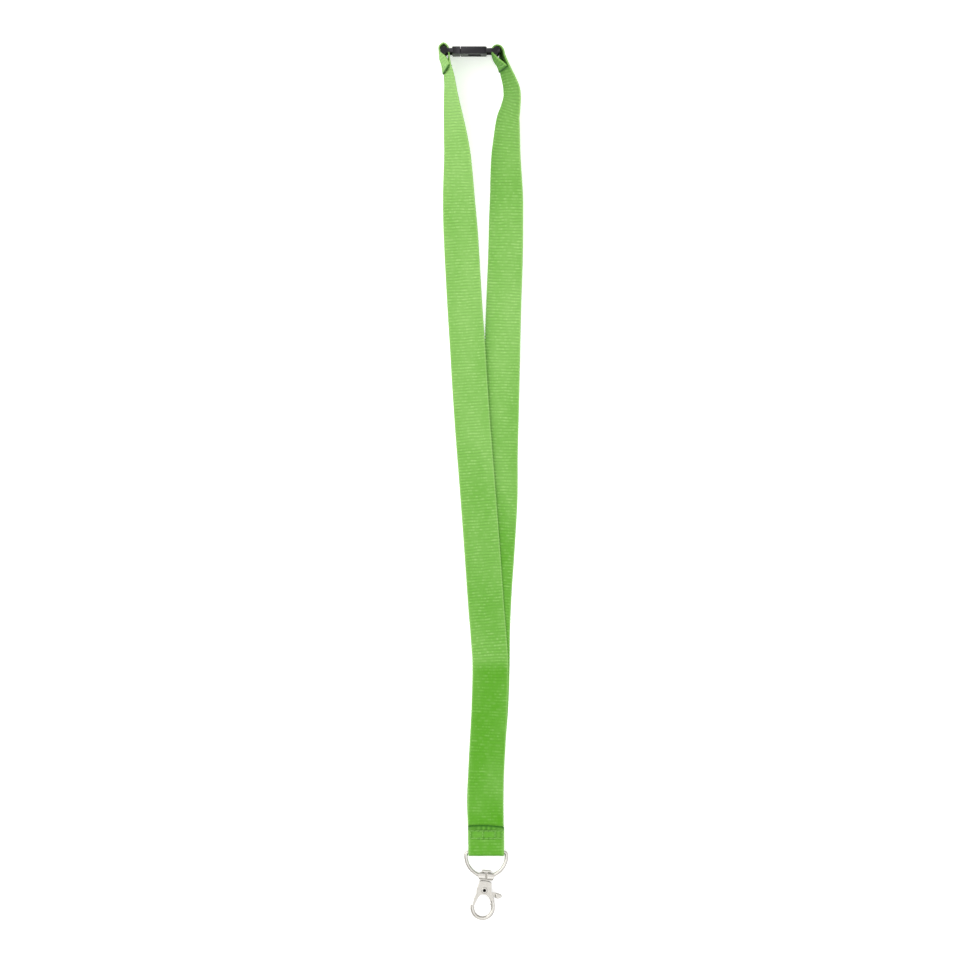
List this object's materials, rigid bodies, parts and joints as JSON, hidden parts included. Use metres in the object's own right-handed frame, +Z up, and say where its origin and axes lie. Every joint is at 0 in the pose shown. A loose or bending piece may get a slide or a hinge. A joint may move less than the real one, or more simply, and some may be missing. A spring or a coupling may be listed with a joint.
{
  "type": "neck lanyard",
  "caption": "Flat woven neck lanyard with a breakaway buckle behind the neck and a swivel trigger hook on a D-ring.",
  "frame": {"origin": "centre of the footprint on the table that the lanyard lies on", "axes": "+Y from the hook towards the buckle, +Z up from the table, +X across the webbing"},
  "size_m": [0.0473, 0.4843, 0.024],
  "materials": {
    "webbing": "ribbed woven polyester webbing",
    "thread": "twisted polyester sewing thread",
    "moulded_plastic": "satin moulded acetal",
    "nickel": "bright nickel plate",
    "spring_steel": "drawn wire"
  },
  "bodies": {
    "webbing_loop": {"left_strap": "webbing", "right_strap": "webbing", "join_stitching": "thread", "right_buckle_stitching": "thread", "buckle_socket": "moulded_plastic"},
    "plug_end": {"buckle_plug": "moulded_plastic", "upper_latch_arm": "moulded_plastic", "lower_latch_arm": "moulded_plastic", "left_strap_loop": "webbing", "left_buckle_stitching": "thread"},
    "ring": {"d_ring": "nickel"},
    "eye": {"swivel_eye": "nickel", "swivel_pin": "nickel"},
    "hook": {"hook_body": "nickel", "gate_rivet": "nickel", "gate_spring": "spring_steel"},
    "gate": {"gate_lever": "nickel"}
  },
  "joints": [
    {"name": "buckle_release", "type": "slide", "parent": "webbing_loop", "child": "plug_end", "axis": [-1, 0, 0], "range_m": [0, 0.014], "deforming": ["upper_latch_arm", "lower_latch_arm"]},
    {"name": "d_ring_swing", "type": "hinge", "parent": "webbing_loop", "child": "ring", "pos_m": [0.003, -0.2046, 0.003], "axis": [-1, 0, 0], "range_deg": [-100, 100]},
    {"name": "eye_tilt", "type": "hinge", "parent": "ring", "child": "eye", "pos_m": [0.00303, -0.21755, 0.0031], "axis": [-0.9959, 0.0906, 0], "range_deg": [-70, 70]},
    {"name": "hook_swivel", "type": "hinge", "parent": "eye", "child": "hook", "pos_m": [0.00278, -0.22029, 0.0031], "axis": [0.0906, 0.9959, 0], "continuous": true},
    {"name": "gate_open", "type": "hinge", "parent": "hook", "child": "gate", "pos_m": [0.00203, -0.22564, 0.0031], "axis": [0, 0, 1], "range_deg": [0, 28], "stiffness_Nm_per_rad": 0.02, "springref_deg": -20.05, "deforming": ["gate_spring"]}
  ]
}
